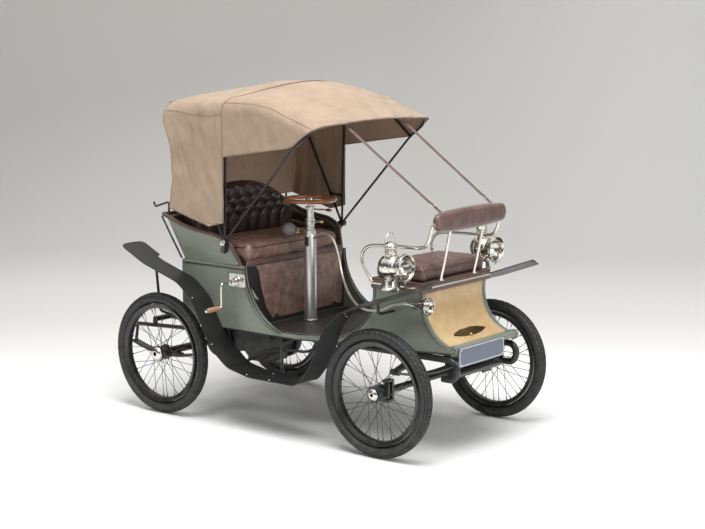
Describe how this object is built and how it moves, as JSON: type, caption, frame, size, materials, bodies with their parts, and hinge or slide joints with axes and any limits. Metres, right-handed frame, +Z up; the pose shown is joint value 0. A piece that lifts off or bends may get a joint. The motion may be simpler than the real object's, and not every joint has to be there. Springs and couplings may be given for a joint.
{
  "type": "brass era car",
  "caption": "Open brass era car with facing seats, a folding canvas hood, wire wheels, lamps, a horn and a side crank.",
  "frame": {"origin": "on the ground and the centre plane, half way between the axles, at the centre of the four tyre contact patches", "axes": "+X forward, +Y to the car's left, +Z up"},
  "size_m": [2.249, 1.306, 1.9048],
  "materials": {
    "body_paint": "sage grey-green paint with a fine pebbled face",
    "black_iron": "gloss black paint on steel tube and iron",
    "black_fender": "gloss black paint on sheet",
    "tyre": "black rubber with block tread",
    "wheel_black": "black painted rim, spokes and hub",
    "nickel": "nickel plate",
    "brass": "polished brass",
    "leather": "mauve brown distressed leather",
    "leather_dark": "dark brown buttoned leather",
    "leather_tan": "tan leather facing",
    "canvas": "beige canvas with seams",
    "wood_floor": "black stained boards",
    "wood_rim": "varnished orange brown wood",
    "cast": "dark cast iron",
    "bulb_rubber": "grey rubber",
    "plate_blank": "blank blue grey plate with a pale border"
  },
  "bodies": {
    "chassis": {"frame": "black_iron", "front_axle": "black_iron", "front_spring": "black_iron", "rear_axle": "black_iron", "gear_case": "cast", "rear_springs": "black_iron", "engine_block": "cast", "front_drum": "black_iron", "body_sides": "body_paint", "back_panel": "body_paint", "floor": "wood_floor", "seat_box": "body_paint", "seat_apron": "leather", "seat_surround": "body_paint", "rear_cushion": "leather", "rear_backrest": "leather_dark", "arm_rolls": "leather_dark", "front_panel": "leather_tan", "box_back": "body_paint", "seat_tray": "leather", "front_cushion": "leather", "seat_rails": "nickel", "front_backrest": "leather", "fenders": "black_fender", "fender_stays": "black_iron", "steering_column": "nickel", "crank_plate": "brass", "horn_bulb": "bulb_rubber", "horn": "nickel", "horn_tube": "nickel", "lamps": "nickel", "hood": "canvas", "hood_bows": "black_iron", "hood_straps": "leather", "number_plate": "plate_blank"},
    "steering_wheel": {"steering_wheel": "wood_rim"},
    "tie_rod": {"tie_rod": "black_iron"},
    "crank": {"crank": "wood_rim"},
    "knuckle_right": {"knuckle_right": "black_iron"},
    "wheel_front_right": {"tyre_front_right": "tyre", "wheel_front_right": "wheel_black"},
    "wheel_rear_right": {"tyre_rear_right": "tyre", "wheel_rear_right": "wheel_black"},
    "knuckle_left": {"knuckle_left": "black_iron"},
    "wheel_front_left": {"tyre_front_left": "tyre", "wheel_front_left": "wheel_black"},
    "wheel_rear_left": {"tyre_rear_left": "tyre", "wheel_rear_left": "wheel_black"}
  },
  "joints": [
    {"name": "knuckle_right_pivot", "type": "hinge", "parent": "chassis", "child": "knuckle_right", "pos_m": [0.779, -0.47, 0.34], "axis": [0, 0, 1], "range_deg": [-28, 28]},
    {"name": "wheel_front_right_spin", "type": "hinge", "parent": "knuckle_right", "child": "wheel_front_right", "pos_m": [0.779, -0.547, 0.34], "axis": [0, 1, 0], "continuous": true},
    {"name": "wheel_rear_right_spin", "type": "hinge", "parent": "chassis", "child": "wheel_rear_right", "pos_m": [-0.779, -0.547, 0.35], "axis": [0, 1, 0], "continuous": true},
    {"name": "knuckle_left_pivot", "type": "hinge", "parent": "chassis", "child": "knuckle_left", "pos_m": [0.779, 0.47, 0.34], "axis": [0, 0, 1], "range_deg": [-28, 28]},
    {"name": "wheel_front_left_spin", "type": "hinge", "parent": "knuckle_left", "child": "wheel_front_left", "pos_m": [0.779, 0.547, 0.34], "axis": [0, 1, 0], "continuous": true},
    {"name": "wheel_rear_left_spin", "type": "hinge", "parent": "chassis", "child": "wheel_rear_left", "pos_m": [-0.779, 0.547, 0.35], "axis": [0, 1, 0], "continuous": true},
    {"name": "steering_wheel_turn", "type": "hinge", "parent": "chassis", "child": "steering_wheel", "pos_m": [-0.105, -0.02, 1.236], "axis": [0, 0, 1], "range_deg": [-84, 84]},
    {"name": "tie_rod_pivot", "type": "hinge", "parent": "knuckle_right", "child": "tie_rod", "pos_m": [0.689, -0.47, 0.297], "axis": [0, 0, 1], "range_deg": [-28, 28]},
    {"name": "crank_turn", "type": "hinge", "parent": "chassis", "child": "crank", "pos_m": [-0.28, -0.577, 0.805], "axis": [0, 1, 0], "continuous": true}
  ],
  "couplings": [
    {"joint": "knuckle_left_pivot", "follows": "knuckle_right_pivot", "ratio": 1},
    {"joint": "tie_rod_pivot", "follows": "knuckle_right_pivot", "ratio": -1},
    {"joint": "steering_wheel_turn", "follows": "knuckle_right_pivot", "ratio": 3}
  ]
}
